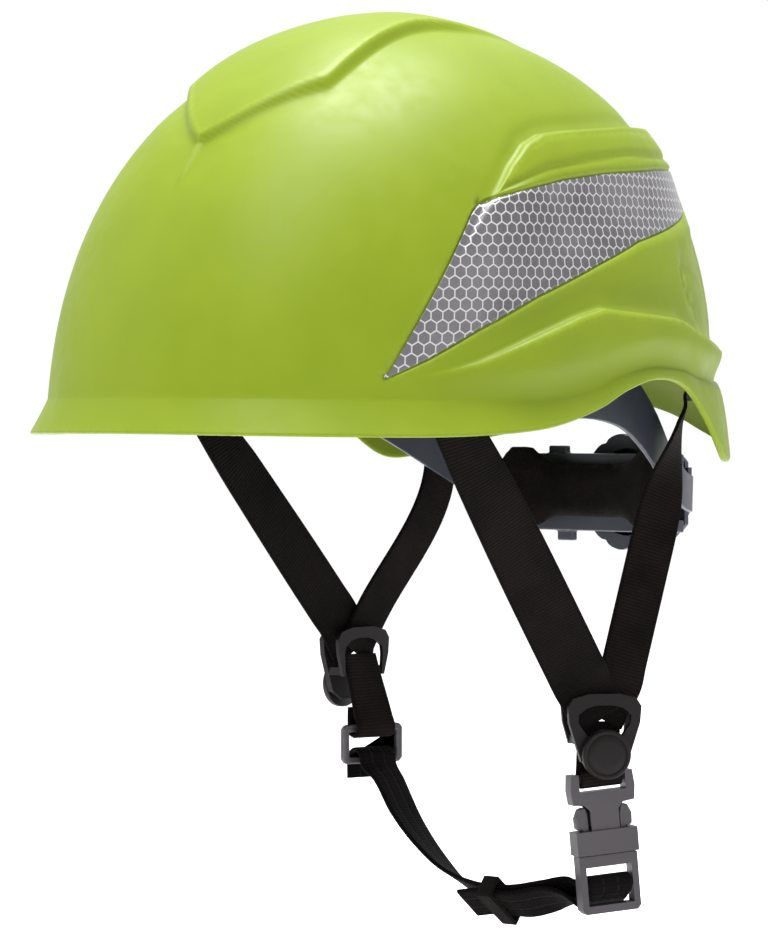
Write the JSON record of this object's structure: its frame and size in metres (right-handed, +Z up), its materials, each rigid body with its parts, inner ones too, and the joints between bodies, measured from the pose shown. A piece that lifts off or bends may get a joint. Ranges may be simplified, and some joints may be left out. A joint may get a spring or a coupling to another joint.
{
  "type": "arborist helmet",
  "caption": "Ventless climbing helmet shell with peaked brim, ratchet nape adjuster, strap suspension and a side-buckle chin harness.",
  "frame": {"origin": "on the plane of symmetry, level with the bottom edge of the front brim, midway along the shell", "axes": "+X to the wearer's left, -Y to the front, +Z up"},
  "size_m": [0.2136, 0.2836, 0.3386],
  "materials": {
    "shell_plastic": "satin lime green moulded shell",
    "reflective_film": "silver honeycomb reflective film",
    "suspension_plastic": "dark blue-grey moulded",
    "webbing": "ribbed black polyester webbing",
    "padding": "black brushed foam-backed cloth",
    "black_plastic": "fine matt",
    "buckle_plastic": "grey satin moulded",
    "spring_steel": "plain spring steel"
  },
  "bodies": {
    "helmet": {"shell": "shell_plastic", "sticker_left": "reflective_film", "sticker_right": "reflective_film", "headband": "suspension_plastic", "brow_pad": "padding", "key_front_left": "suspension_plastic", "key_front_right": "suspension_plastic", "key_side_left": "suspension_plastic", "key_side_right": "suspension_plastic", "key_rear_left": "suspension_plastic", "key_rear_right": "suspension_plastic", "crown_strap_a": "webbing", "crown_strap_b": "webbing", "crown_strap_c": "webbing", "hanger_front_left": "suspension_plastic", "hanger_front_right": "suspension_plastic", "hanger_rear_left": "suspension_plastic", "hanger_rear_right": "suspension_plastic", "pivot_stud_left": "suspension_plastic", "pivot_stud_right": "suspension_plastic"},
    "nape_frame": {"nape_arm_left": "suspension_plastic", "nape_arm_right": "suspension_plastic"},
    "nape_unit": {"nape_pad": "padding", "ratchet_housing": "suspension_plastic", "ratchet_cover": "suspension_plastic", "detent_spring": "spring_steel"},
    "left_rack": {"rack_left": "suspension_plastic"},
    "right_rack": {"rack_right": "suspension_plastic"},
    "adjuster": {"knob": "suspension_plastic", "knob_cap": "black_plastic", "pinion": "suspension_plastic"},
    "left_yoke": {"leg_front_left": "webbing", "leg_rear_left": "webbing", "divider_left": "black_plastic", "divider_cap_left": "black_plastic", "loop_left": "webbing"},
    "right_yoke": {"leg_front_right": "webbing", "leg_rear_right": "webbing", "divider_right": "black_plastic", "divider_cap_right": "black_plastic", "loop_right": "webbing", "ring": "buckle_plastic"},
    "chin_set": {"buckle_female": "buckle_plastic", "chin_strap": "webbing"},
    "strap_keeper": {"keeper": "webbing"},
    "male_half": {"buckle_male": "buckle_plastic"},
    "left_prong": {"prong_left": "buckle_plastic"},
    "right_prong": {"prong_right": "buckle_plastic"}
  },
  "joints": [
    {"name": "nape_tilt", "type": "hinge", "parent": "helmet", "child": "nape_frame", "pos_m": [0, 0.034, 0.018], "axis": [1, 0, 0], "range_deg": [-10, 4]},
    {"name": "nape_draw", "type": "slide", "parent": "nape_frame", "child": "nape_unit", "axis": [0, -1, 0], "range_m": [-0.00834, 0.00521], "deforming": ["nape_arm_left", "nape_arm_right"]},
    {"name": "knob_turn", "type": "hinge", "parent": "nape_unit", "child": "adjuster", "pos_m": [0, 0.142, -0.025], "axis": [0, -1, 0], "range_deg": [-201, 126]},
    {"name": "left_rack_slide", "type": "slide", "parent": "nape_frame", "child": "left_rack", "axis": [-0.8832, -0.4691, 0], "range_m": [-0.0182, 0.0115]},
    {"name": "right_rack_slide", "type": "slide", "parent": "nape_frame", "child": "right_rack", "axis": [0.8832, -0.4691, 0], "range_m": [-0.0182, 0.0115]},
    {"name": "left_yoke_sway", "type": "hinge", "parent": "helmet", "child": "left_yoke", "pos_m": [0.0645, 0.034, 0.012], "axis": [0, 1, 0], "range_deg": [-6, 6]},
    {"name": "right_yoke_sway", "type": "hinge", "parent": "helmet", "child": "right_yoke", "pos_m": [-0.0645, 0.034, 0.012], "axis": [0, 1, 0], "range_deg": [-6.1, 6.1]},
    {"name": "chin_pivot", "type": "hinge", "parent": "left_yoke", "child": "chin_set", "pos_m": [0.0608, 0.0506, -0.1275], "axis": [0, 1, 0], "range_deg": [-6.1, 6.1]},
    {"name": "keeper_slide", "type": "slide", "parent": "chin_set", "child": "strap_keeper", "axis": [0.9982, 0.0599, 0], "range_m": [-0.006, 0.006]},
    {"name": "buckle_release", "type": "slide", "parent": "chin_set", "child": "male_half", "axis": [0.0409, 0.077, -0.9962], "range_m": [0, 0.026], "deforming": ["chin_strap", "prong_left", "prong_right"]},
    {"name": "left_prong_squeeze", "type": "hinge", "parent": "male_half", "child": "left_prong", "pos_m": [0.06451, 0.05758, -0.15471], "axis": [-0.8829, 0.4695, 0], "range_deg": [0, 9], "stiffness_Nm_per_rad": 0.2},
    {"name": "right_prong_squeeze", "type": "hinge", "parent": "male_half", "child": "right_prong", "pos_m": [0.05937, 0.0479, -0.15567], "axis": [-0.8829, 0.4695, 0], "range_deg": [-9, 0], "stiffness_Nm_per_rad": 0.2}
  ],
  "couplings": [
    {"joint": "knob_turn", "follows": "nape_draw", "rad_per_m": 418.41},
    {"joint": "left_rack_slide", "follows": "nape_draw", "ratio": 2.1319},
    {"joint": "right_rack_slide", "follows": "nape_draw", "ratio": 2.1319},
    {"joint": "right_yoke_sway", "follows": "left_yoke_sway", "ratio": 1},
    {"joint": "chin_pivot", "follows": "left_yoke_sway", "ratio": -1},
    {"joint": "right_prong_squeeze", "follows": "left_prong_squeeze", "ratio": -1}
  ]
}
